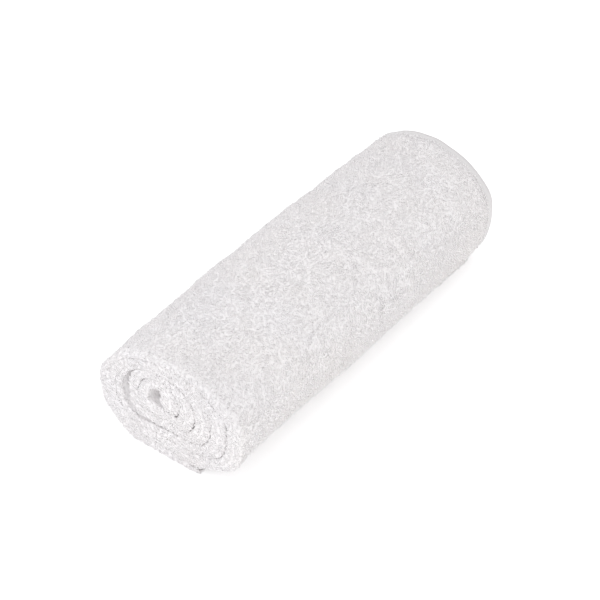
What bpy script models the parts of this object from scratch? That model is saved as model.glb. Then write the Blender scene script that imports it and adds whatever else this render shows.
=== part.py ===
"""Bath towel, folded once along its length and rolled up, lying on its side.

Metres, +Z up. The roll's axis runs along Y: its folded edges show at the -Y end and its
open edges at the +Y end. It rests at z = 0 on the flat spot under its middle, where the
towel's free end is tucked.

The towel is one piece of cloth, so the part is one solid. It starts as a flat slab, the
folded towel laid out, and each of its points is then wound onto the roll.
"""

import collections
import math

import bmesh
import bpy

# Sizes of the towel and of its roll, in metres
TOWEL_WIDTH = 0.70
FOLD_TAKE_UP = 0.003
ROLL_LENGTH = TOWEL_WIDTH / 2 - FOLD_TAKE_UP
CORE_HALF_WIDTH = 0.0035
CORE_HALF_HEIGHT = 0.0050
CORE_HEIGHT = 0.0540
WOUND_HALF_WIDTH = 0.0722
WOUND_SHIFT = 0.0135
WOUND_ABOVE_CORE = 0.0480
WOUND_UNDER_CORE = 0.0610

# The winding, in turns counted from the roll's right-hand side towards its top
TURNS = 5.0
END_TURN_NEAR = 0.780
END_TURN_FAR = 0.838
LOOSE_TURNS = 3.0

# Air between the turns, as a share of the way from the core to the outermost turn
TURN_GAP = 0.009
PINCH_DEPTH = 0.16
PINCH_TURN = 0.54
PINCH_REACH = 0.20

# The roll's outline: how square each part of it is (2 is an ellipse)
TOP_SQUARENESS = 1.95
LOWER_LEFT_SQUARENESS = 2.6
LOWER_RIGHT_SQUARENESS = 3.4

# The turns are pressed flat under the roll, each at its own height, from this share outwards
# onto the surface that the roll lies on
RESTING_SHARE = 0.955

# How unevenly the turns end, in metres: the outermost turn falls short of both ends, the near
# end leans back towards its foot, and the tail pokes out there and falls short at the far end
OUTER_TURN_NEAR_SETBACK = 0.003
OUTER_TURN_FAR_SETBACK = 0.006
NEAR_LEAN = 0.0010
TAIL_POKE = 0.0030
TAIL_SETBACK = 0.011
END_WAVINESS = 0.0015

# The soft edges of the folded towel
EDGE_ROUNDING = 0.0045
EDGE_THINNEST = 0.35
TAIL_ROUNDING = 0.012
TAIL_THINNEST = 0.45

# How finely the slab is divided
EDGE_MIDDLE = 0.3
STATIONS_FIRST_TURN = 16
STATIONS_LAST_TURN = 40
ROWS_BETWEEN_EDGES = 11

# The roll along its length: a row for each section, in shares of the sizes above
Section = collections.namedtuple("Section", "along width height shift")
SECTIONS = (
    Section(along=0.00, width=0.99, height=0.96, shift=1.14),
    Section(along=0.12, width=1.00, height=0.98, shift=1.12),
    Section(along=0.35, width=1.00, height=1.00, shift=1.06),
    Section(along=0.65, width=1.00, height=1.00, shift=1.00),
    Section(along=0.88, width=0.97, height=1.00, shift=0.98),
    Section(along=1.00, width=0.95, height=0.99, shift=0.96),
)

# Hollows and swellings pressed into the roll's outside: depth in metres, inwards positive
Dent = collections.namedtuple("Dent", "along turn depth length arc")
DENTS = (
    Dent(along=0.16, turn=0.22, depth=0.0040, length=0.17, arc=0.16),
    Dent(along=0.20, turn=0.41, depth=0.0020, length=0.20, arc=0.12),
    Dent(along=0.45, turn=0.22, depth=-0.0015, length=0.20, arc=0.16),
    Dent(along=0.72, turn=0.30, depth=0.0015, length=0.18, arc=0.14),
    Dent(along=0.50, turn=0.06, depth=0.0016, length=0.30, arc=0.06),
)


def smooth_step(value):
    """0 below 0, 1 above 1, and an even S curve between."""
    value = min(max(value, 0.0), 1.0)
    return value * value * (3 - 2 * value)


def hump(distance, reach):
    """1 at no distance, falling smoothly to 0 at the reach."""
    return 1 - smooth_step(abs(distance) / reach)


def turn_distance(turn, other):
    """The shorter way round between two directions, in turns."""
    return (turn - other + 0.5) % 1.0 - 0.5


def section_at(along):
    """The roll's section at a share of its length, eased between the table's rows."""
    rows = zip(SECTIONS, SECTIONS[1:])
    first, second = next(pair for pair in rows if along <= pair[1].along)
    share = smooth_step((along - first.along) / (second.along - first.along))
    return Section(*(a + (b - a) * share for a, b in zip(first, second)))


def end_turn(along):
    """Where the towel's free end lies: it is a little askew."""
    return TURNS + END_TURN_NEAR - 1 + (END_TURN_FAR - END_TURN_NEAR) * along


def start_turn():
    return END_TURN_NEAR - 1


def share_at(turn):
    """How far out the cloth's outer face is, from 0 at the core to 1 at the free end."""
    return (turn - start_turn() + 1) / (TURNS + 1)


def cloth_faces(turn):
    """How far out the cloth's inner and outer faces are, with air left on both sides."""
    inner, outer = share_at(turn - 1), share_at(turn)
    # The first turn is bunched up, so the hollow at the core stays narrow
    inner *= min(inner / share_at(start_turn()), 1.0)
    # The inner roll has drawn away from the loose outer turns on the left
    if turn < start_turn() + TURNS - LOOSE_TURNS:
        pinch = PINCH_DEPTH * hump(turn_distance(turn % 1.0, PINCH_TURN), PINCH_REACH)
        inner, outer = inner * (1 - pinch), outer * (1 - pinch)
    return inner + TURN_GAP / 2, outer - TURN_GAP / 2


def rounded(value, squareness):
    """A superellipse's coordinate from a circle's."""
    return math.copysign(abs(value) ** (2 / squareness), value)


def squareness_at(angle, share):
    """The turns are rounder towards the core."""
    if math.sin(angle) > 0:
        outermost = TOP_SQUARENESS
    elif math.cos(angle) > 0:
        outermost = LOWER_RIGHT_SQUARENESS
    else:
        outermost = LOWER_LEFT_SQUARENESS
    return 2 + (outermost - 2) * share


def dent_depth(turn, along):
    return sum(
        dent.depth
        * hump(along - dent.along, dent.length)
        * hump(turn_distance(turn, dent.turn), dent.arc)
        for dent in DENTS
    )


def ring_point(share, turn, along):
    """The point (x, z) at that share of the way out, in that direction from the core."""
    section = section_at(along)
    angle = turn * math.tau
    squareness = squareness_at(angle, share)
    across = rounded(math.cos(angle), squareness)
    up = rounded(math.sin(angle), squareness)
    outermost_height = WOUND_ABOVE_CORE * section.height if up > 0 else WOUND_UNDER_CORE
    half_width = CORE_HALF_WIDTH + share * (WOUND_HALF_WIDTH * section.width - CORE_HALF_WIDTH)
    half_height = CORE_HALF_HEIGHT + share * (outermost_height - CORE_HALF_HEIGHT)
    pressed = share * dent_depth(turn, along)
    x = share * WOUND_SHIFT * section.shift + across * (half_width - pressed)
    z = up * (half_height - pressed)
    return x, max(z, -CORE_HEIGHT * min(share / RESTING_SHARE, 1.0))


def on_outer_turn(to_end):
    """0 on the inner turns and 1 on the outermost, eased over part of a turn."""
    return smooth_step((1.2 - to_end) / 0.3)


def on_tail(to_end):
    """0 on the turns and 1 at the towel's free end, eased over part of a turn."""
    return smooth_step(1 - to_end / 0.4)


def near_reach(turn):
    """How far the folded edge stands out past the roll's near end, in metres."""
    to_end = end_turn(0) - turn
    outer_turn = -OUTER_TURN_NEAR_SETBACK * on_outer_turn(to_end)
    lean = NEAR_LEAN * math.sin(turn * math.tau)
    waves = END_WAVINESS * math.sin(turn * math.tau * 0.9)
    return outer_turn + TAIL_POKE * on_tail(to_end) + lean + waves


def far_setback(turn):
    """How far the open edge lies short of the roll's far end, in metres."""
    to_end = end_turn(1) - turn
    outer_turn = OUTER_TURN_FAR_SETBACK * on_outer_turn(to_end)
    waves = END_WAVINESS * (1 + math.sin(turn * math.tau * 0.7))
    return outer_turn + TAIL_SETBACK * on_tail(to_end) + waves


def edge_thinning(distance):
    """The share of its thickness that the folded towel keeps this near a soft edge."""
    inside = min(max(distance / EDGE_ROUNDING, 0.0), 1.0)
    return EDGE_THINNEST + (1 - EDGE_THINNEST) * math.sqrt(1 - (1 - inside) ** 2)


def tail_thinning(turn, along):
    """The share of its thickness that the cloth keeps this near its free end."""
    girth = math.tau * (WOUND_HALF_WIDTH + WOUND_ABOVE_CORE) / 2
    to_tail = (end_turn(along) - turn) * girth
    return TAIL_THINNEST + (1 - TAIL_THINNEST) * smooth_step(to_tail / TAIL_ROUNDING)


def wound(station, length_along, outer_face):
    """Where a point of the flat slab comes to lie on the roll."""
    along = length_along / ROLL_LENGTH
    askew = (end_turn(along) - start_turn()) / (end_turn(0) - start_turn())
    turn = start_turn() + (station - start_turn()) * askew
    inner, outer = cloth_faces(turn)
    inner = outer - (outer - inner) * tail_thinning(turn, along)
    from_edge = min(length_along, ROLL_LENGTH - length_along)
    half = (outer - inner) / 2 * edge_thinning(from_edge)
    share = (outer + inner) / 2 + (half if outer_face else -half)
    x, z = ring_point(share, turn % 1.0, along)
    near, far = -near_reach(turn), ROLL_LENGTH - far_setback(turn)
    return x, near + (far - near) * along, z + CORE_HEIGHT


def station_list():
    """The stations along the cloth, closer together in angle where the roll is large."""
    stations = [start_turn()]
    while stations[-1] < end_turn(0):
        wound_share = (stations[-1] - start_turn()) / TURNS
        per_turn = STATIONS_FIRST_TURN + wound_share * (STATIONS_LAST_TURN - STATIONS_FIRST_TURN)
        stations.append(stations[-1] + 1 / per_turn)
    stretch = TURNS / (stations[-1] - start_turn())
    return [start_turn() + (station - start_turn()) * stretch for station in stations]


def row_list():
    """The rows across the folded towel: close at its two soft edges, wide between."""
    edge = [0.0, EDGE_ROUNDING * EDGE_MIDDLE, EDGE_ROUNDING]
    inside = ROLL_LENGTH - 2 * EDGE_ROUNDING
    between = [
        EDGE_ROUNDING + inside * row / ROWS_BETWEEN_EDGES for row in range(1, ROWS_BETWEEN_EDGES)
    ]
    return edge + between + [ROLL_LENGTH - distance for distance in reversed(edge)]


def flat_slab(stations, rows):
    """The folded towel laid flat: a grid with a thickness, numbered by station and row."""
    slab = bmesh.new()
    bmesh.ops.create_grid(
        slab, x_segments=len(stations) - 1, y_segments=len(rows) - 1, size=0.5
    )
    for vertex in slab.verts:
        vertex.co.x = round((vertex.co.x + 0.5) * (len(stations) - 1))
        vertex.co.y = round((vertex.co.y + 0.5) * (len(rows) - 1))
        vertex.co.z = 0.0
    top = bmesh.ops.extrude_face_region(slab, geom=slab.faces[:])
    for item in top["geom"]:
        if isinstance(item, bmesh.types.BMVert):
            item.co.z = 1.0
    bmesh.ops.recalc_face_normals(slab, faces=slab.faces)
    return slab


def rolled_towel(collection):
    stations, rows = station_list(), row_list()
    slab = flat_slab(stations, rows)
    for vertex in slab.verts:
        station, row = stations[round(vertex.co.x)], rows[round(vertex.co.y)]
        vertex.co = wound(station, row, outer_face=vertex.co.z > 0.5)
    # Winding mirrors the slab, so its faces are turned to point out again
    bmesh.ops.reverse_faces(slab, faces=slab.faces)
    low = [min(vertex.co[axis] for vertex in slab.verts) for axis in range(2)]
    high = [max(vertex.co[axis] for vertex in slab.verts) for axis in range(2)]
    for vertex in slab.verts:
        vertex.co.x -= (low[0] + high[0]) / 2
        vertex.co.y -= (low[1] + high[1]) / 2
    mesh = bpy.data.meshes.new("towel_roll")
    slab.to_mesh(mesh)
    slab.free()
    mesh.shade_smooth()
    mesh.set_sharp_from_angle(angle=math.radians(50))
    towel = bpy.data.objects.new("towel_roll", mesh)
    towel.data.materials.append(white_terry())
    collection.objects.link(towel)
    return towel


def white_terry():
    material = bpy.data.materials.new("white_terry")
    material.use_nodes = True
    surface = material.node_tree.nodes["Principled BSDF"]
    surface.inputs["Base Color"].default_value = (0.86, 0.86, 0.87, 1.0)
    surface.inputs["Roughness"].default_value = 0.95
    surface.inputs["Metallic"].default_value = 0.0
    return material


def main():
    for leftover in list(bpy.data.objects):
        bpy.data.objects.remove(leftover, do_unlink=True)
    collection = bpy.data.collections.new("rolled_bath_towel")
    bpy.context.scene.collection.children.link(collection)
    rolled_towel(collection)


main()
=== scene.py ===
"""Rolled bath towel: one sheet of white terry, folded once along its length and wound up,
with its loops and its flat hems, on a pale studio floor."""

import collections
import math

import bmesh
import bpy
import numpy as np
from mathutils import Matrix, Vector


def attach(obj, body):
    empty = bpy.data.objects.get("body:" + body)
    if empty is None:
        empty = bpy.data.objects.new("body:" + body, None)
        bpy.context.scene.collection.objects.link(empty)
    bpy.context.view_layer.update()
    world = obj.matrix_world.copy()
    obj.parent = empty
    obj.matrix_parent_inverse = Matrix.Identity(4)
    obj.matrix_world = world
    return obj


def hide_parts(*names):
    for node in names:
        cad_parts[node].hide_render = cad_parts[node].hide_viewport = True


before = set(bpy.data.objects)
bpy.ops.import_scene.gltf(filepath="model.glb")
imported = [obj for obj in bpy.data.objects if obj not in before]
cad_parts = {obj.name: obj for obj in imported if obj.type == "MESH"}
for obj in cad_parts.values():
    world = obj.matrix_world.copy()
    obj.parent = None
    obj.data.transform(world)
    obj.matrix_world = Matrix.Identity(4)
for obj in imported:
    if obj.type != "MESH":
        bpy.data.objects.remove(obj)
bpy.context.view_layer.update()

bl_info = {
    "name": "Rolled Bath Towel",
    "version": (1, 0, 0),
    "blender": (4, 5, 0),
    "location": "View3D > Sidebar > Towel",
    "description": "Winds a folded terry towel and raises its loops",
    "category": "Object",
}

# The core: its size and place in metres, the share of the size that is left inside the
# roll, and how far in from each end it narrows, as a share of the roll's length
CORE_HALF_WIDTH = 0.0042
CORE_HALF_HEIGHT = 0.0082
CORE_HEIGHT = 0.0555
CORE_FROM_MIDDLE = -0.01015
CORE_NARROWS = 0.25
CORE_DEPTH = 0.035

# The winding, in metres and in turns counted from the right-hand side towards the top
WOUND_HALF_WIDTH = 0.0722
WOUND_SHIFT = 0.0135
WOUND_ABOVE_CORE = 0.0465
WOUND_UNDER_CORE = 0.0625
TURNS = 5.0
END_TURN_NEAR = 0.802
END_TURN_FAR = 0.846
GIRTH = math.tau * (WOUND_HALF_WIDTH + WOUND_ABOVE_CORE) / 2
ROLL_LENGTH = 0.347
TOWEL_HALF_WIDTH = 0.35

# The room between two turns, as a share of the way out from the core
TURN_GAP = 0.003

# The inner turns are pinched towards the core: how much, in which direction, how far to each
# side in turns, and how many turns outside them stay loose
PINCH_DEPTH = 0.16
PINCH_TURN = 0.54
PINCH_REACH = 0.20
LOOSE_TURNS = 3.0

# How square the turns are, where 2 is an ellipse, and the share of the way out at which the
# underside reaches the ground
CORE_SQUARENESS = 2
TOP_SQUARENESS = 1.95
LOWER_LEFT_SQUARENESS = 2.6
LOWER_RIGHT_SQUARENESS = 3.4
RESTING_SHARE = 0.955

# How the turn under the free end swells to meet it, as a share of the way out and in turns
SEAM_FILL = 0.065
SEAM_REACH = 0.10

# How unevenly the turns end at the near end: in metres, in turns, and RIM_STARTS as a share
# of the way out
OUTER_TURN_NEAR_SETBACK = 0.003
RIM_STARTS = 0.80
NEAR_LEAN = 0.0022
NEAR_LEAN_TURN = 0.40
TAIL_POKE = 0.0060
TAIL_POKE_TURNS = 0.20
TURN_STEPS = 0.0004
TURN_STEPS_PACE = 2.1
END_WAVINESS = 0.0015

# How unevenly they end at the far end
OUTER_TURN_FAR_SETBACK = 0.006
OUTER_TURN_STARTS = 1.2
OUTER_TURN_EASE = 0.3
FAR_LEAN = 0.0030
FAR_WAVES_PACE = 0.7
TAIL_SETBACK = 0.005
TAIL_SETBACK_TURNS = 0.4

# How the free end thins towards its edge
TAIL_ROUNDING = 0.006
TAIL_THINNEST = 0.80

# The sheet within the folded towel: its half thickness as a share of a ply's, and its fold
PLY_FILL = 0.48
FOLD_RADIUS = 0.0013
FOLD_CLOTH = 0.0085
FOLD_SQUARENESS = 4.0

# Its hems, and how wavy the two plies' open edges are
HEM_THINNEST = 0.6
HEM_EASE = 0.006
# How softly the hem mask fades in; the mask places the hems' ribs and their painted shade
HEM_MASK_EASE = 0.002
SELVEDGE_WAVES = 0.0018
SELVEDGE_CELLS = 6
INNER_PLY_OFFSET = 17.0
SELVEDGE_ROWS = 64
SELVEDGE_SEED = 22

# Where the cloth makes room for the loops: under the roll, from this many turns before the
# free end, and up to the side hem
UNDER_PILE = 0.0008
OUTSIDE_TURNS = 1.02
OUTSIDE_EASE = 0.04
PILE_EASE = 0.003

# The section's sizes along the roll, as shares of the winding's
Section = collections.namedtuple("Section", "along width height shift")
SECTIONS = (
    Section(along=0.00, width=1.01, height=0.96, shift=1.03),
    Section(along=0.12, width=1.01, height=0.98, shift=1.08),
    Section(along=0.35, width=1.015, height=1.00, shift=1.06),
    Section(along=0.65, width=1.00, height=1.00, shift=1.09),
    Section(along=0.88, width=0.955, height=1.00, shift=1.09),
    Section(along=1.00, width=0.92, height=0.99, shift=1.03),
)

# Hollows and swellings in the roll's outside: depth in metres, inwards positive
Dent = collections.namedtuple("Dent", "along turn depth length arc")
DENTS = (
    Dent(along=0.16, turn=0.22, depth=0.0040, length=0.17, arc=0.16),
    Dent(along=0.00, turn=0.84, depth=0.0076, length=0.09, arc=0.06),
    Dent(along=0.00, turn=0.93, depth=-0.0026, length=0.12, arc=0.07),
    Dent(along=0.00, turn=0.43, depth=0.0044, length=0.14, arc=0.08),
    Dent(along=0.00, turn=0.56, depth=-0.0016, length=0.14, arc=0.08),
    Dent(along=1.00, turn=0.95, depth=-0.0016, length=0.10, arc=0.08),
    Dent(along=0.20, turn=0.41, depth=0.0020, length=0.20, arc=0.12),
    Dent(along=0.45, turn=0.22, depth=-0.0015, length=0.20, arc=0.16),
    Dent(along=0.72, turn=0.30, depth=0.0015, length=0.18, arc=0.14),
    Dent(along=0.50, turn=0.06, depth=0.0016, length=0.30, arc=0.06),
    Dent(along=0.08, turn=0.16, depth=0.0020, length=0.09, arc=0.11),
    Dent(along=0.29, turn=0.26, depth=-0.0012, length=0.10, arc=0.08),
    Dent(along=0.83, turn=0.20, depth=0.0020, length=0.10, arc=0.08),
    Dent(along=0.62, turn=0.12, depth=-0.0008, length=0.10, arc=0.06),
)

# Smooth noises: cells along the roll or out from the core, cells in a turn, and the seed;
# then how many cells they have before they repeat
Noise = collections.namedtuple("Noise", "across turn seed")
BROAD_NOISE = Noise(across=11, turn=12, seed=11)
FINE_NOISE = Noise(across=31, turn=33, seed=12)
WOBBLE_NOISE = Noise(across=2.5, turn=7, seed=21)
END_NOISE = Noise(across=3, turn=5, seed=23)
NOISE_COLUMNS = 64

# How deep the noises press the outside in, in metres
BROAD_UNEVENNESS = 0.0010
FINE_UNEVENNESS = 0.0005

# Soft troughs across the outside, each a run of points (along, turn), deepest at its middle
Crease = collections.namedtuple("Crease", "points depth width")
CREASES = (
    Crease(points=((0.49, 0.122), (0.43, 0.106), (0.37, 0.112), (0.28, 0.105), (0.17, 0.094)),
           depth=0.0014, width=0.0040),
    Crease(points=((0.93, 0.245), (0.84, 0.225), (0.76, 0.232)), depth=0.0009, width=0.0050),
    Crease(points=((0.22, 0.315), (0.31, 0.330), (0.42, 0.322)), depth=0.0008, width=0.0050),
    Crease(points=((0.58, 0.020), (0.68, 0.032), (0.80, 0.026)), depth=0.0008, width=0.0045),
)

# Places where the near end's turns stand apart, at the outer face of a turn
Gap = collections.namedtuple("Gap", "turn reach inwards outwards")
GAPS = (
    Gap(turn=1.58, reach=0.300, inwards=-0.012, outwards=0.058),
    Gap(turn=1.38, reach=0.140, inwards=-0.055, outwards=0.055),
    Gap(turn=2.22, reach=0.040, inwards=0.018, outwards=0.008),
    Gap(turn=1.12, reach=0.045, inwards=0.012, outwards=0.006),
    Gap(turn=-0.08, reach=0.060, inwards=0.012, outwards=0.006),
    Gap(turn=3.13, reach=0.040, inwards=0.014, outwards=0.008),
    Gap(turn=0.95, reach=0.030, inwards=0.006, outwards=0.004),
    Gap(turn=3.02, reach=0.022, inwards=0.010, outwards=0.006),
    Gap(turn=2.56, reach=0.060, inwards=0.006, outwards=0.006),
)

# How far in from the near end they reach, as a share of the roll's length
GAP_LENGTH = 0.016

# How unevenly the turns lie at both ends, fading out towards the outside
WOBBLE = 0.05
WOBBLE_LENGTH = 0.10
WOBBLE_FADES = 0.1

# How finely the sheet is divided: stations that measure it, the distance between the made
# ones in metres at the core and at the free end, and the rows on each ply
MEASURED_STATIONS = 20001
STATION_FIRST = 0.0024
STATION_LAST = 0.0038
FOLD_ROWS = 6
HEM_ROWS = 4
PLY_ROWS = 50
ENDS_CLOSER = 0.4

# One loop of the pile
LOOP_SIDES = 3
LOOP_STEPS = 3
LOOP_SINK = 0.0003
SMALLEST_LOOP = 0.8
LARGEST_LOOP = 1.2

# How the loops lean: the least as a share of the most, and how far they turn, in radians,
# from the swirls of the pile
LEAST_LEAN = 0.35
SWIRL_SIZE = 0.014
SWIRL_ROWS = 64
SWIRL_SEED = 31
HEADING_SPREAD = 1.6

# Steps that measure the directions on the sheet, two in turns and one in metres, and a
# number that keeps a division from zero
TURN_STEP = 0.002
TAIL_STEP = 0.004
FOLD_STEP = 0.0004
TINY = 1e-12

# What the loops are counted in
CENTIMETRE = 0.01
SQUARE_METRE = 1e4

# The loops on the roll's outside, thinner where it rests
PILE_SEED = 7
UNDERSIDE_SEED = 15
JITTER = 0.35
OUTSIDE_STATIONS = 2000
OUTSIDE_LEAN = 1.8
PRESSED_UNDER = 0.0015
PRESSED_LEFT = -0.024
PRESSED_RIGHT = 0.036
PRESSED_SHARE = 0.45

# The lowest loops lie on the ground, each at its own small height
PILE_FLOOR = 0.0001
PILE_FLOOR_SPREAD = 0.0002
PILE_FLOOR_REPEATS = 0.003

# The loops on the near end's folds
END_SEED = 16
END_STATIONS = 1600
END_FOLDS = 25
END_FIRST_TURN = 0.02
END_LAST_TURN = 0.002
END_LOOP_SPREAD = 0.92
END_LEAN = 1.6
END_LOOP_HEIGHT = 0.80
END_DENSITY = 1.4

# The loops on the free end's edge
TAIL_SEED = 17
TAIL_EDGE = 0.006
TAIL_MARGIN = 0.004
TAIL_LEAN = 0.7
TAIL_LOOP_HEIGHT = 1.2
TAIL_DENSITY = 2.6

# The outside's loops in pieces, each between two directions round the roll in turns
Zone = collections.namedtuple("Zone", "name starts ends")
ZONES = (
    Zone(name="crown_loops", starts=0.15, ends=0.33),
    Zone(name="left_loops", starts=0.33, ends=0.58),
    Zone(name="lower_loops", starts=0.58, ends=0.90),
    Zone(name="right_loops", starts=0.90, ends=0.15),
)

# The cotton: cooler and warmer patches, the darkest loops, the hems' painted shade and the woven
# ground
COOL_TINT = (0.975, 0.985, 1.0)
WARM_TINT = (1.0, 0.992, 0.975)
PATCH_SCALE = 22.0
PATCH_DETAIL = 3.0
DARKEST_LOOP = 0.985
# The hems are darkened with painted shade, standing in for the shade that the loops cast on each
# other over the rest of the cloth
HEM_PAINTED_SHADE = 0.78
GROUND_SCALE = 420.0
RIB_SCALE = 120.0
RIB_DISTORTION = 0.6
RIB_HEIGHT = 0.35

# Where the studio's camera and lights aim, and how large its floor is
CAMERA_AIM_HEIGHT = 0.040
CAMERA_AIM_SHIFT = 0.0057
LIGHT_AIM = (0, -0.05, 0.05)
FLOOR_HALF_WIDTH = 6.0

# The studio's soft lights: one above the near end and a bluish one before it
Light = collections.namedtuple("Light", "name place size colour")
LIGHTS = (
    Light(name="key", place=(-0.16, -0.65, 1.02), size=0.8, colour=(0.86, 0.90, 1.0)),
    Light(name="fill", place=(-0.15, -1.25, 0.30), size=0.9, colour=(0.30, 0.45, 1.0)),
)


# The winding's arithmetic, on numpy arrays

def smooth_step(value):
    value = np.clip(value, 0.0, 1.0)
    return value * value * (3 - 2 * value)


def hump(distance, reach):
    """1 at no distance, falling smoothly to 0 at the reach."""
    return 1 - smooth_step(np.abs(distance) / reach)


def turn_distance(turn, other):
    """The shorter way round between two directions, in turns."""
    return (turn - other + 0.5) % 1.0 - 0.5


def section_at(along, column):
    """One column of the section table at a share of the roll's length, eased between rows."""
    value = getattr(SECTIONS[0], column)
    for first, second in zip(SECTIONS, SECTIONS[1:]):
        share = smooth_step((along - first.along) / (second.along - first.along))
        value = value + (getattr(second, column) - getattr(first, column)) * share
    return value


def end_turn(along):
    return TURNS + END_TURN_NEAR - 1 + (END_TURN_FAR - END_TURN_NEAR) * along


START_TURN = END_TURN_NEAR - 1


def share_at(turn):
    """How far out the towel's outer face is, from 0 at the core to 1 at the free end."""
    return (turn - START_TURN + 1) / (TURNS + 1)


def towel_faces(turn, along):
    """How far out the folded towel's inner and outer faces are."""
    inner, outer = share_at(turn - 1), share_at(turn)
    inner = inner * np.minimum(inner / share_at(START_TURN), 1.0)
    pinch = PINCH_DEPTH * hump(turn_distance(turn % 1.0, PINCH_TURN), PINCH_REACH)
    pinch = np.where(turn < START_TURN + TURNS - LOOSE_TURNS, pinch, 0.0)
    inner, outer = inner * (1 - pinch), outer * (1 - pinch)
    near = hump(along, GAP_LENGTH)
    end = np.maximum(hump(along, WOBBLE_LENGTH), hump(1 - along, WOBBLE_LENGTH))
    wobble = WOBBLE * end * noise_of(WOBBLE_NOISE, inner, turn)
    fade = smooth_step((1 - outer) / WOBBLE_FADES)
    inner, outer = inner + wobble * inner, outer + wobble * outer * fade
    for gap in GAPS:
        outer = outer - gap.inwards * hump(turn - gap.turn, gap.reach) * near
        inner = inner + gap.outwards * hump(turn - 1 - gap.turn, gap.reach) * near
    outer = outer + SEAM_FILL * hump(turn + 1 - end_turn(along), SEAM_REACH)
    inner = inner + SEAM_FILL * hump(turn - end_turn(along), SEAM_REACH)
    return inner + TURN_GAP / 2, outer - TURN_GAP / 2


def ring_point(share, turn, along, pressed):
    """The point (x, z) at a share of the way out, pressed inwards by a depth in metres."""
    angle = turn * math.tau
    cosine, sine = np.cos(angle), np.sin(angle)
    lower = np.where(cosine > 0, LOWER_RIGHT_SQUARENESS, LOWER_LEFT_SQUARENESS)
    outermost = np.where(sine > 0, TOP_SQUARENESS, lower)
    squareness = CORE_SQUARENESS + (outermost - CORE_SQUARENESS) * share
    reach = (np.abs(cosine) ** squareness + np.abs(sine) ** squareness) ** (-1 / squareness)
    above = WOUND_ABOVE_CORE * section_at(along, "height")
    height = np.where(sine > 0, above, WOUND_UNDER_CORE)
    width = WOUND_HALF_WIDTH * section_at(along, "width")
    core = hump(np.minimum(along, 1 - along), CORE_DEPTH)
    core = CORE_NARROWS + (1 - CORE_NARROWS) * core
    half_width = CORE_HALF_WIDTH * core * (1 - share) + share * width
    half_height = CORE_HALF_HEIGHT * core * (1 - share) + share * height
    shift = share * WOUND_SHIFT * section_at(along, "shift")
    x = shift + cosine * reach * (half_width - pressed)
    z = sine * reach * (half_height - pressed)
    floor = UNDER_PILE - CORE_HEIGHT * np.minimum(share / RESTING_SHARE, 1.0)
    return x + CORE_FROM_MIDDLE, np.maximum(z, floor) + CORE_HEIGHT


def near_reach(turn, share):
    """How far the folded edge stands out past the roll's near end, in metres."""
    outermost = smooth_step((share - RIM_STARTS) / (1 - RIM_STARTS))
    to_tail = turn_distance(turn, end_turn(0))
    rim = outermost * (TAIL_POKE * hump(to_tail, TAIL_POKE_TURNS) - OUTER_TURN_NEAR_SETBACK)
    lean = NEAR_LEAN * share * np.cos((turn - NEAR_LEAN_TURN) * math.tau)
    waves = END_WAVINESS * noise_of(END_NOISE, share, turn)
    steps = TURN_STEPS * np.sin(turn * TURN_STEPS_PACE)
    return rim + lean + waves + steps


def far_setback(turn):
    """How far the open edges lie short of the roll's far end, in metres."""
    to_end = end_turn(1) - turn
    outer_turn = OUTER_TURN_FAR_SETBACK * smooth_step((OUTER_TURN_STARTS - to_end) / OUTER_TURN_EASE)
    tail = TAIL_SETBACK * smooth_step(1 - to_end / TAIL_SETBACK_TURNS)
    waves = END_WAVINESS * (1 + np.sin(turn * math.tau * FAR_WAVES_PACE))
    lean = FAR_LEAN * share_at(turn) * np.sin(turn * math.tau)
    return outer_turn + tail + waves - lean


def noise_at(x, y, rows, seed):
    """Smooth noise from -1 to 1 over cells of size 1, which repeats after so many rows."""
    values = np.random.default_rng(seed).uniform(-1, 1, (rows, NOISE_COLUMNS))
    column, row = np.floor(x).astype(int), np.floor(y).astype(int)
    across, up = smooth_step(x - column), smooth_step(y - row)
    corner = lambda i, j: values[(row + j) % rows, (column + i) % NOISE_COLUMNS]
    low = corner(0, 0) * (1 - across) + corner(1, 0) * across
    high = corner(0, 1) * (1 - across) + corner(1, 1) * across
    return low * (1 - up) + high * up


def noise_of(noise, across, turn):
    """One of the named noises, which meets itself again after a whole turn."""
    return noise_at(across * noise.across, turn * noise.turn, noise.turn, noise.seed)


def crease_depth(turn, along):
    """How deep the creases press the outside in, in metres."""
    depth = np.zeros_like(turn * along)
    for crease in CREASES:
        nearest = np.full_like(depth, 1.0)
        place = np.zeros_like(depth)
        runs = len(crease.points) - 1
        for index, (first, second) in enumerate(zip(crease.points, crease.points[1:])):
            run = ((second[0] - first[0]) * ROLL_LENGTH, (second[1] - first[1]) * GIRTH)
            x = (along - first[0]) * ROLL_LENGTH
            y = turn_distance(turn, first[1]) * GIRTH
            share = np.clip((x * run[0] + y * run[1]) / (run[0] ** 2 + run[1] ** 2), 0, 1)
            distance = np.hypot(x - share * run[0], y - share * run[1])
            place = np.where(distance < nearest, (index + share) / runs, place)
            nearest = np.minimum(distance, nearest)
        strength = np.sqrt(np.clip(4 * place * (1 - place), 0, 1))
        depth += crease.depth * strength * np.exp(-(nearest / crease.width) ** 2)
    return depth


def outside_depth(turn, along):
    """How far the outside is pressed in at a place: dents, creases and soft unevenness."""
    depth = crease_depth(turn, along)
    for dent in DENTS:
        depth += dent.depth * hump(along - dent.along, dent.length) * hump(
            turn_distance(turn, dent.turn), dent.arc)
    depth += BROAD_UNEVENNESS * noise_of(BROAD_NOISE, along, turn)
    depth += FINE_UNEVENNESS * noise_of(FINE_NOISE, along, turn)
    return depth


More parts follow.
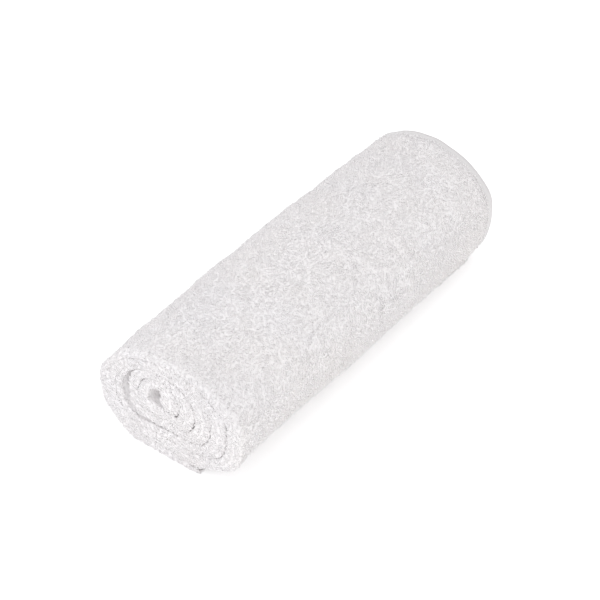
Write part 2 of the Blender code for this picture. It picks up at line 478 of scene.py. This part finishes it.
def towel_point(station, fold, side, face, pile):
    """Where a point of the sheet comes to lie.

    station counts turns along the cloth at the near end, fold is the distance from the
    cloth's middle fold in metres, side is 1 on the outer ply and -1 on the inner one, and
    face is 1 on the cloth's outer face, away from the fold's inside, and -1 on the other.
    pile is the room in metres that is left for the loops on the roll's outside.
    """
    quarter = np.clip(fold / (FOLD_CLOTH / 2), 0, 1) * math.pi / 2
    straight = np.maximum(fold - FOLD_CLOTH / 2, 0.0)
    along = straight / (ROLL_LENGTH - FOLD_RADIUS * 2)
    askew = (end_turn(along) - START_TURN) / (end_turn(0) - START_TURN)
    turn = START_TURN + (station - START_TURN) * askew
    inner, outer = towel_faces(turn, along)
    to_tail = (end_turn(along) - turn) * GIRTH
    thinning = TAIL_THINNEST + (1 - TAIL_THINNEST) * smooth_step(to_tail / TAIL_ROUNDING)
    inner = outer - (outer - inner) * thinning
    sizes = bpy.context.scene.towel_sizes
    to_hem = TOWEL_HALF_WIDTH - fold
    hem = HEM_THINNEST + (1 - HEM_THINNEST) * smooth_step((to_hem - sizes.side_hem) / HEM_EASE)
    level = face * PLY_FILL * hem
    sine = np.abs(np.sin(quarter)) ** (2 / FOLD_SQUARENESS)
    cosine = np.abs(np.cos(quarter)) ** (2 / FOLD_SQUARENESS)
    through = side * (0.5 + level) * sine
    share = (outer + inner) / 2 + through * (outer - inner) / 2
    depth = FOLD_RADIUS * (1 + 2 * PLY_FILL) - FOLD_RADIUS * (1 + 2 * level) * cosine
    exposed = smooth_step((turn - end_turn(along) + OUTSIDE_TURNS) / OUTSIDE_EASE)
    inside_hem = smooth_step((to_hem - sizes.side_hem) / PILE_EASE)
    outside = np.clip(through, 0, 1) * exposed * inside_hem
    pressed = share * outside_depth(turn % 1.0, along) + outside * pile
    x, z = ring_point(share, turn % 1.0, along, pressed)
    near = -near_reach(turn, share) + pile + depth
    ply = np.where(side > 0, 0.0, INNER_PLY_OFFSET)
    waves = noise_at(turn * SELVEDGE_CELLS + ply, ply, SELVEDGE_ROWS, SELVEDGE_SEED)
    far = ROLL_LENGTH - far_setback(turn) + SELVEDGE_WAVES * waves
    y = near + (far - near) * along - ROLL_LENGTH / 2
    return np.stack([x, y, z], axis=-1)


# Meshes and materials

class Socket:
    """A socket of a material's nodes, so that shader maths reads as arithmetic."""

    def __init__(self, finish, link):
        self.finish, self.link = finish, link

    def maths(self, operation, *values):
        return self.finish.node("ShaderNodeMath", {"operation": operation}, dict(enumerate(values)))

    def __add__(self, other):
        return self.maths("ADD", self, other)

    def __rsub__(self, other):
        return self.maths("SUBTRACT", other, self)

    def __mul__(self, other):
        return self.maths("MULTIPLY", self, other)


class Finish:
    """A material under construction."""

    def __init__(self, name):
        self.material = bpy.data.materials.new(name)
        self.material.use_nodes = True
        self.tree = self.material.node_tree
        self.surface = self.tree.nodes["Principled BSDF"]

    def node(self, kind, settings=None, inputs=None, output=0):
        """A node of a kind: its settings first, then its sockets' values or links."""
        node = self.tree.nodes.new(kind)
        for name, value in (settings or {}).items():
            setattr(node, name, value)
        for name, value in (inputs or {}).items():
            self.feed(node.inputs[name], value)
        return Socket(self, node.outputs[output])

    def feed(self, socket, value):
        if isinstance(value, Socket):
            self.tree.links.new(value.link, socket)
        else:
            socket.default_value = value

    def set(self, **values):
        """The surface shader's own sockets, by name with _ for a space."""
        for name, value in values.items():
            self.feed(self.surface.inputs[name.replace("_", " ").title()], value)
        return self.material

    def place(self):
        return self.node("ShaderNodeTexCoord", output="Object")

    def mix(self, factor, first, second):
        return self.node("ShaderNodeMix", {"data_type": "RGBA"}, {0: factor, 6: first, 7: second}, 2)


def tinted(colour, tint):
    """A colour times a tint, or times a share, as the shader takes it."""
    return (*(np.array(colour) * tint), 1.0)


def terry_finish(name, colour):
    """White cotton, a little warmer and cooler in patches."""
    finish = Finish(name)
    patches = finish.node("ShaderNodeTexNoise", {}, {
        "Vector": finish.place(), "Scale": PATCH_SCALE, "Detail": PATCH_DETAIL}, "Fac")
    return finish, finish.mix(patches, tinted(colour, COOL_TINT), tinted(colour, WARM_TINT))


def pile_material(colour):
    """The loops, some a little darker than the others."""
    finish, shade = terry_finish("white_terry_loops", colour)
    tone = finish.node("ShaderNodeAttribute", {"attribute_name": "tone"}, output="Fac")
    shade = finish.mix(tone, tinted(colour, DARKEST_LOOP), shade)
    return finish.set(base_color=shade, roughness=0.95)


def ground_material(colour):
    """The cloth that the loops stand on, and its flat woven hems."""
    finish, shade = terry_finish("white_terry", colour)
    hem = finish.node("ShaderNodeAttribute", {"attribute_name": "hem"}, output="Fac")
    # Painted shade: the hems are darkened so that they look as shaded as the looped cloth
    shade = finish.mix(hem, shade, tinted(colour, HEM_PAINTED_SHADE))
    cloth = finish.node("ShaderNodeUVMap", {"uv_map": "cloth"})
    loops = finish.node("ShaderNodeTexVoronoi", {"feature": "F1"}, {
        "Vector": finish.place(), "Scale": GROUND_SCALE}, "Distance")
    ribs = finish.node("ShaderNodeTexWave", {"wave_type": "BANDS", "bands_direction": "X"}, {
        "Vector": cloth, "Scale": RIB_SCALE, "Distortion": RIB_DISTORTION}, "Fac")
    height = (1 - loops) * (1 - hem) + ribs * hem * RIB_HEIGHT
    bump = finish.node("ShaderNodeBump", {}, {"Height": height, "Strength": 0.6, "Distance": 0.0008})
    return finish.set(base_color=shade, roughness=0.95, normal=bump)


def new_piece(name, mesh, material):
    mesh.name = name
    mesh.materials.append(material)
    mesh.shade_smooth()
    piece = bpy.data.objects.new(name, mesh)
    bpy.context.scene.collection.objects.link(piece)
    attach(piece, "root")
    return piece


def station_list(pile):
    """The stations along the cloth, evenly apart but closer where it is tightly wound."""
    fine = np.linspace(START_TURN, end_turn(0), MEASURED_STATIONS)
    steps = np.diff(cloth_length(fine, pile))
    wound = (fine[1:] - START_TURN) / TURNS
    steps /= STATION_FIRST + wound * (STATION_LAST - STATION_FIRST)
    count = np.concatenate([[0.0], np.cumsum(steps)])
    return np.interp(np.linspace(0, count[-1], int(count[-1]) + 1), count, fine)


def row_list(hem):
    """Distances from the fold, negative on the inner ply: close at the fold and the hems."""
    fold = np.linspace(0, FOLD_CLOTH / 2, FOLD_ROWS + 1)
    even = np.linspace(0, 1, PLY_ROWS + 1)[1:]
    graded = even - np.sin(even * math.tau) / math.tau * ENDS_CLOSER
    ply = FOLD_CLOTH / 2 + graded * (TOWEL_HALF_WIDTH - hem - HEM_EASE - FOLD_CLOTH / 2)
    edge = np.linspace(TOWEL_HALF_WIDTH - hem - HEM_EASE, TOWEL_HALF_WIDTH, HEM_ROWS + 1)[1:]
    half = np.concatenate([fold, ply, edge])
    return np.concatenate([-half[:0:-1], half])


def put_in_order(slab):
    """Sort the edges and faces by their points, as an extrusion makes them in any order."""
    slab.verts.index_update()
    count = len(slab.verts)

    def place(item):
        points = [vertex.index for vertex in item.verts]
        return min(points) * count + max(points)

    slab.edges.sort(key=place)
    slab.faces.sort(key=place)


def cloth_mesh(pile):
    """The sheet: a flat grid with a thickness, each point of which is wound onto the roll."""
    sizes = bpy.context.scene.towel_sizes
    stations, rows = station_list(pile), row_list(sizes.side_hem)
    slab = bmesh.new()
    bmesh.ops.create_grid(slab, x_segments=len(stations) - 1, y_segments=len(rows) - 1, size=0.5)
    top = bmesh.ops.extrude_face_region(slab, geom=slab.faces[:])
    bmesh.ops.translate(slab, vec=(0, 0, 1),
                        verts=[item for item in top["geom"] if isinstance(item, bmesh.types.BMVert)])
    bmesh.ops.recalc_face_normals(slab, faces=slab.faces)
    put_in_order(slab)
    mesh = bpy.data.meshes.new("terry_towel")
    slab.to_mesh(mesh)
    slab.free()
    flat = np.empty(len(mesh.vertices) * 3)
    mesh.vertices.foreach_get("co", flat)
    flat = flat.reshape(-1, 3)
    column = np.round((flat[:, 0] + 0.5) * (len(stations) - 1)).astype(int)
    row = np.round((flat[:, 1] + 0.5) * (len(rows) - 1)).astype(int)
    fold = rows[row]
    side = np.where(fold >= 0, 1.0, -1.0)
    face = np.where(flat[:, 2] > 0.5, 1.0, -1.0)
    wound = towel_point(stations[column], np.abs(fold), side, face, pile)
    mesh.vertices.foreach_set("co", wound.ravel())
    uv = np.stack([cloth_length(stations, pile)[column], fold], axis=-1)
    layer = mesh.uv_layers.new(name="cloth")
    corners = np.empty(len(mesh.loops), dtype=np.int32)
    mesh.loops.foreach_get("vertex_index", corners)
    layer.uv.foreach_set("vector", uv[corners].astype(np.float32).ravel())
    # The hem mask, which places the hems' ribs and their painted shade
    hem = mesh.attributes.new("hem", "FLOAT", "POINT")
    to_hem = TOWEL_HALF_WIDTH - np.abs(fold)
    masks = hump(np.maximum(to_hem - sizes.side_hem, 0), HEM_MASK_EASE)
    hem.data.foreach_set("value", masks.astype(np.float32))
    mesh.update()
    return mesh


def cloth_length(stations, pile):
    """The distance from the core at each station, along the middle of the outer ply."""
    middle = towel_point(stations, np.full_like(stations, TOWEL_HALF_WIDTH / 2), 1.0, 0.0, pile)
    steps = np.linalg.norm(np.diff(middle, axis=0), axis=1)
    return np.concatenate([[0.0], np.cumsum(steps)])


def loop_template(sizes):
    """One loop of the pile: a thin bent tube that stands on its two feet."""
    loop = bmesh.new()
    yarn, reach = sizes.loop_yarn / 2, sizes.loop_width / 2
    ring = bmesh.ops.create_circle(loop, segments=LOOP_SIDES, radius=yarn)
    bmesh.ops.translate(loop, verts=ring["verts"], vec=(reach, 0, 0))
    bmesh.ops.spin(loop, geom=loop.verts[:] + loop.edges[:], cent=(0, 0, 0), axis=(0, -1, 0),
                   angle=math.pi, steps=LOOP_STEPS, use_duplicate=False)
    ends = [edge for edge in loop.edges if edge.is_boundary]
    bmesh.ops.holes_fill(loop, edges=ends, sides=LOOP_SIDES)
    bmesh.ops.scale(loop, verts=loop.verts, vec=(1, 1, sizes.loop_height / (reach + yarn)))
    bmesh.ops.recalc_face_normals(loop, faces=loop.faces)
    corners = [[vertex.index for vertex in face.verts] for face in loop.faces]
    points = np.array([vertex.co[:] for vertex in loop.verts])
    loop.free()
    return points, corners


def joined_loops(name, template, feet, across, forward, outward, tone):
    """One mesh of many loops: each stands at its foot, in its own three directions."""
    points, corners = template
    copies = len(feet)
    axes = np.stack([across, forward, outward], axis=1)
    placed = feet[:, None, :] + np.einsum("vk,nkc->nvc", points, axes)
    height = placed[:, :, 2]
    lowest = PILE_FLOOR + PILE_FLOOR_SPREAD * (height % PILE_FLOOR_REPEATS) / PILE_FLOOR_REPEATS
    placed[:, :, 2] = np.maximum(height, lowest)
    counts = np.array([len(face) for face in corners])
    flat = np.concatenate([np.array(face) for face in corners])
    mesh = bpy.data.meshes.new(name)
    mesh.vertices.add(copies * len(points))
    mesh.vertices.foreach_set("co", placed.astype(np.float32).ravel())
    mesh.loops.add(copies * len(flat))
    indices = flat[None, :] + (np.arange(copies) * len(points))[:, None]
    mesh.loops.foreach_set("vertex_index", indices.astype(np.int32).ravel())
    starts = np.concatenate([[0], np.cumsum(counts)[:-1]])
    all_starts = starts[None, :] + (np.arange(copies) * len(flat))[:, None]
    mesh.polygons.add(copies * len(corners))
    mesh.polygons.foreach_set("loop_start", all_starts.astype(np.int32).ravel())
    mesh.update(calc_edges=True)
    mesh.validate()
    values = mesh.attributes.new("tone", "FLOAT", "POINT")
    values.data.foreach_set("value", np.repeat(tone, len(points)).astype(np.float32))
    return mesh


def unit(vectors):
    return vectors / (np.linalg.norm(vectors, axis=1, keepdims=True) + TINY)


def surface_frames(station, fold, side, pile):
    """Points of the sheet's outer face with their outward, around and forward directions."""
    here = towel_point(station, fold, side, 1.0, pile)
    around = towel_point(station + TURN_STEP, fold, side, 1.0, pile)
    around -= towel_point(station - TURN_STEP, fold, side, 1.0, pile)
    signed = fold * side
    ahead, behind = signed + FOLD_STEP, signed - FOLD_STEP
    forward = towel_point(station, np.abs(ahead), np.where(ahead >= 0, 1.0, -1.0), 1.0, pile)
    forward -= towel_point(station, np.abs(behind), np.where(behind >= 0, 1.0, -1.0), 1.0, pile)
    around, forward = unit(around), unit(forward)
    return here, unit(np.cross(forward, around)), around, forward


def tail_frames(density, random, pile):
    """Places over the free end's cut edge, with the same directions as on the sheet."""
    count = int(TOWEL_HALF_WIDTH * TAIL_EDGE * SQUARE_METRE * density)
    station = np.full(count, end_turn(0))
    fold = random.uniform(0, TOWEL_HALF_WIDTH - TAIL_MARGIN, count)
    side = random.choice([-1.0, 1.0], count)
    level = random.uniform(-1.0, 1.0, count)
    here = towel_point(station, fold, side, level, pile)
    outward = unit(here - towel_point(station - TAIL_STEP, fold, side, level, pile))
    forward = unit(towel_point(station, fold + FOLD_STEP, side, level, pile) - here)
    return here, outward, unit(np.cross(outward, forward)), forward


def raise_loops(name, frames, seed, lean, height=1.0):
    """A piece of loops that stand on the sheet at the given places."""
    sizes = bpy.context.scene.towel_sizes
    random = np.random.default_rng(seed)
    feet, outward, around, forward = frames
    lengthwise, upright = (feet[:, axis] + feet[:, 0] for axis in (1, 2))
    swirl = noise_at(lengthwise / SWIRL_SIZE, upright / SWIRL_SIZE, SWIRL_ROWS, SWIRL_SEED)
    swirl *= math.pi
    heading = swirl + random.uniform(-HEADING_SPREAD, HEADING_SPREAD, len(feet))
    leaning = lean * random.uniform(LEAST_LEAN, 1.0, len(feet))
    tip = unit(outward + leaning[:, None] * (
        np.cos(heading)[:, None] * around + np.sin(heading)[:, None] * forward))
    spin = random.uniform(0, math.pi, len(feet))
    flat = np.cos(spin)[:, None] * around + np.sin(spin)[:, None] * forward
    across = unit(flat - tip * np.sum(flat * tip, axis=1, keepdims=True))
    third = np.cross(tip, across)
    size = random.uniform(SMALLEST_LOOP, LARGEST_LOOP, len(feet))[:, None]
    feet = feet - outward * LOOP_SINK
    mesh = joined_loops(name, loop_template(sizes), feet, across * size, third * size,
                        tip * size * height, random.uniform(0, 1, len(feet)))
    return new_piece(name, mesh, pile_material(bpy.context.scene.towel_colours.cotton))


def outside_places(density, random):
    """Jittered places on the roll's outside: their stations and distances from the fold."""
    sizes = bpy.context.scene.towel_sizes
    gap = CENTIMETRE / math.sqrt(density)
    fine = np.linspace(end_turn(0) - 1.0, end_turn(0), OUTSIDE_STATIONS)
    middle = towel_point(fine, np.full_like(fine, TOWEL_HALF_WIDTH / 2), 1.0, 1.0, sizes.pile_room)
    length = np.concatenate([[0], np.cumsum(np.linalg.norm(np.diff(middle, axis=0), axis=1))])
    around = np.arange(gap / 2, length[-1] - sizes.end_hem, gap)
    start = FOLD_CLOTH / 2 + gap / 2
    forward = np.arange(start, TOWEL_HALF_WIDTH - sizes.side_hem, gap)
    around, forward = (grid.ravel() for grid in np.meshgrid(around, forward))
    around = around + random.uniform(-JITTER, JITTER, len(around)) * gap
    forward = forward + random.uniform(-JITTER, JITTER, len(forward)) * gap
    return np.interp(around, length, fine), forward


def end_places(density, random):
    """Places over the near end's folded edges, evenly by area."""
    sizes = bpy.context.scene.towel_sizes
    last = end_turn(0) - END_LAST_TURN
    stations = np.linspace(START_TURN + END_FIRST_TURN, last, END_STATIONS)
    levels = np.linspace(-1, 1, END_FOLDS)
    folds = levels * FOLD_CLOTH / 2 * END_LOOP_SPREAD
    grid = np.stack([
        towel_point(stations, np.full_like(stations, abs(fold)), 1.0 if fold >= 0 else -1.0, 1.0,
                    sizes.pile_room) for fold in folds], axis=1)
    wide = np.linalg.norm(grid[:-1, 1:] - grid[:-1, :-1], axis=2)
    long = np.linalg.norm(grid[1:, :-1] - grid[:-1, :-1], axis=2)
    area = np.cumsum((wide * long).T.ravel())
    count = int(area[-1] * SQUARE_METRE * density)
    picks = (np.arange(count) + random.uniform(0, 1, count)) / count * area[-1]
    cell = np.searchsorted(area, picks)
    level, place = np.divmod(np.clip(cell, 0, area.size - 1), len(stations) - 1)
    station = stations[place] + random.uniform(0, 1, count) * (stations[1] - stations[0])
    fold = folds[level] + random.uniform(0, 1, count) * (folds[1] - folds[0])
    return station, np.abs(fold), np.where(fold >= 0, 1.0, -1.0)


# What a user would change

class TowelSizes(bpy.types.PropertyGroup):
    side_hem: bpy.props.FloatProperty(
        name="Side hem", description="Width of the flat hem along the long edges",
        default=0.0065, min=0.0, unit="LENGTH")
    end_hem: bpy.props.FloatProperty(
        name="End hem", description="Width of the flat hem across the free end",
        default=0.0005, min=0.0, unit="LENGTH")
    loop_height: bpy.props.FloatProperty(
        name="Loop height", description="How high a loop of the pile stands",
        default=0.0021, min=0.0005, unit="LENGTH")
    loop_width: bpy.props.FloatProperty(
        name="Loop width", description="From foot to foot of a loop",
        default=0.0011, min=0.0002, unit="LENGTH")
    loop_yarn: bpy.props.FloatProperty(
        name="Yarn", description="Thickness of a loop's yarn",
        default=0.00105, min=0.0001, unit="LENGTH")
    pile_room: bpy.props.FloatProperty(
        name="Room for the pile", description="How far the cloth lies inside the roll's outline",
        default=0.0014, min=0.0, unit="LENGTH")
    density: bpy.props.FloatProperty(
        name="Loops", description="Loops on each square centimetre", default=28.0, min=1.0)


class TowelColours(bpy.types.PropertyGroup):
    cotton: bpy.props.FloatVectorProperty(
        name="Cotton", description="Colour of the white cotton", size=3, subtype="COLOR",
        default=(0.975, 0.950, 0.952), min=0.0, max=1.0)
    floor: bpy.props.FloatVectorProperty(
        name="Floor", description="Colour of the studio floor", size=3, subtype="COLOR",
        default=(0.95, 0.95, 0.95), min=0.0, max=1.0)


class StudioSettings(bpy.types.PropertyGroup):
    azimuth: bpy.props.FloatProperty(
        name="Azimuth", description="Where the camera stands round the towel",
        default=math.radians(36.9), subtype="ANGLE")
    elevation: bpy.props.FloatProperty(
        name="Elevation", description="How high the camera looks from",
        default=math.radians(40.0), subtype="ANGLE")
    distance: bpy.props.FloatProperty(
        name="Distance", description="From the camera to the towel", default=1.9, unit="LENGTH")
    focal_length: bpy.props.FloatProperty(
        name="Focal length", description="The camera's lens, in millimetres", default=145.92)
    key: bpy.props.FloatProperty(
        name="Key light", description="Power of the large light above", default=1.55, unit="POWER")
    fill: bpy.props.FloatProperty(
        name="Fill light", description="Power of the light before the near end", default=0.10,
        unit="POWER")
    sky: bpy.props.FloatProperty(
        name="Surrounding light", description="Strength of the even light all round", default=0.935)
    floor_glow: bpy.props.FloatProperty(
        name="Floor glow", description="Light given off by the studio's lit table", default=0.26)


class TOWEL_OT_wind_cloth(bpy.types.Operator):
    """Wind the folded sheet of terry"""

    bl_idname = "towel.wind_cloth"
    bl_label = "Wind the cloth"

    def execute(self, context):
        mesh = cloth_mesh(context.scene.towel_sizes.pile_room)
        towel = new_piece("terry_towel", mesh, ground_material(context.scene.towel_colours.cotton))
        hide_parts("towel_roll")
        return {"FINISHED"}


class TOWEL_OT_raise_pile(bpy.types.Operator):
    """Raise the loops on the roll's outside and on its folded end"""

    bl_idname = "towel.raise_pile"
    bl_label = "Raise the pile"

    def execute(self, context):
        sizes = context.scene.towel_sizes
        random = np.random.default_rng(PILE_SEED)
        station, fold = outside_places(sizes.density, random)
        direction = station % 1.0
        x, _, z = towel_point(station, fold, 1.0, 1.0, sizes.pile_room).T
        under = (z < PRESSED_UNDER) & (x > PRESSED_LEFT) & (x < PRESSED_RIGHT)
        thin = random.uniform(0, 1, len(station)) < PRESSED_SHARE
        for number, zone in enumerate(ZONES):
            inside = (direction - zone.starts) % 1.0 < (zone.ends - zone.starts) % 1.0
            inside &= ~under
            frames = surface_frames(station[inside], fold[inside], 1.0, sizes.pile_room)
            raise_loops(zone.name, frames, PILE_SEED + number + 1, OUTSIDE_LEAN)
        frames = surface_frames(station[under & thin], fold[under & thin], 1.0, sizes.pile_room)
        raise_loops("underside_loops", frames, UNDERSIDE_SEED, OUTSIDE_LEAN)
        station, fold, side = end_places(sizes.density * END_DENSITY, random)
        frames = surface_frames(station, fold, side, sizes.pile_room)
        raise_loops("near_end_loops", frames, END_SEED, END_LEAN, END_LOOP_HEIGHT)
        frames = tail_frames(sizes.density * TAIL_DENSITY, random, sizes.pile_room)
        raise_loops("tail_loops", frames, TAIL_SEED, TAIL_LEAN, TAIL_LOOP_HEIGHT)
        return {"FINISHED"}


class TOWEL_OT_set_stage(bpy.types.Operator):
    """Set the floor, the lights and the camera"""

    bl_idname = "towel.set_stage"
    bl_label = "Set the stage"

    def execute(self, context):
        scene, studio = context.scene, context.scene.towel_studio
        floor = bmesh.new()
        bmesh.ops.create_grid(floor, x_segments=1, y_segments=1, size=FLOOR_HALF_WIDTH)
        mesh = bpy.data.meshes.new("studio_floor")
        floor.to_mesh(mesh)
        floor.free()
        finish = Finish("studio_floor")
        mesh.materials.append(finish.set(
            base_color=(*scene.towel_colours.floor, 1.0), roughness=0.9,
            emission_color=(1.0, 1.0, 1.0, 1.0), emission_strength=studio.floor_glow))
        stage = bpy.data.objects.new("studio_floor", mesh)
        scene.collection.objects.link(stage)

        scene.world = bpy.data.worlds.new("studio")
        scene.world.use_nodes = True
        sky = scene.world.node_tree.nodes["Background"]
        sky.inputs["Color"].default_value = (1.0, 1.0, 1.0, 1.0)
        sky.inputs["Strength"].default_value = studio.sky

        for light in LIGHTS:
            data = bpy.data.lights.new(light.name, "AREA")
            data.shape, data.size, data.color = "SQUARE", light.size, light.colour
            data.energy = getattr(studio, light.name)
            lamp = bpy.data.objects.new(light.name, data)
            lamp.location = light.place
            aim = Vector(LIGHT_AIM) - Vector(light.place)
            lamp.rotation_euler = aim.to_track_quat("-Z", "Y").to_euler()
            scene.collection.objects.link(lamp)

        back = Vector((math.sin(studio.azimuth) * math.cos(studio.elevation),
                       -math.cos(studio.azimuth) * math.cos(studio.elevation),
                       math.sin(studio.elevation)))
        right = Vector((math.cos(studio.azimuth), math.sin(studio.azimuth), 0.0))
        target = Vector((0, 0, CAMERA_AIM_HEIGHT)) - CAMERA_AIM_SHIFT * right
        lens = bpy.data.cameras.new("camera")
        lens.sensor_width, lens.lens = 36.0, studio.focal_length
        camera = bpy.data.objects.new("camera", lens)
        camera.location = target + back * studio.distance
        camera.rotation_euler = (-back).to_track_quat("-Z", "Y").to_euler()
        scene.collection.objects.link(camera)
        scene.camera = camera
        scene.view_settings.view_transform = "Standard"
        return {"FINISHED"}


class VIEW3D_PT_towel(bpy.types.Panel):
    bl_label = "Towel"
    bl_space_type = "VIEW_3D"
    bl_region_type = "UI"
    bl_category = "Towel"

    def draw(self, context):
        for group in ("towel_sizes", "towel_colours", "towel_studio"):
            settings = getattr(context.scene, group)
            for name in settings.__annotations__:
                self.layout.prop(settings, name)
        for operator in OPERATORS:
            self.layout.operator(operator.bl_idname)


GROUPS = {"towel_sizes": TowelSizes, "towel_colours": TowelColours, "towel_studio": StudioSettings}
OPERATORS = (TOWEL_OT_set_stage, TOWEL_OT_wind_cloth, TOWEL_OT_raise_pile)


def register():
    for name, group in GROUPS.items():
        bpy.utils.register_class(group)
        setattr(bpy.types.Scene, name, bpy.props.PointerProperty(type=group))
    for item in (*OPERATORS, VIEW3D_PT_towel):
        bpy.utils.register_class(item)


def unregister():
    for item in (VIEW3D_PT_towel, *reversed(OPERATORS)):
        bpy.utils.unregister_class(item)
    for name, group in GROUPS.items():
        delattr(bpy.types.Scene, name)
        bpy.utils.unregister_class(group)


def main():
    register()
    bpy.ops.towel.set_stage()
    bpy.ops.towel.wind_cloth()
    bpy.ops.towel.raise_pile()


if __name__ == "__main__":
    main()
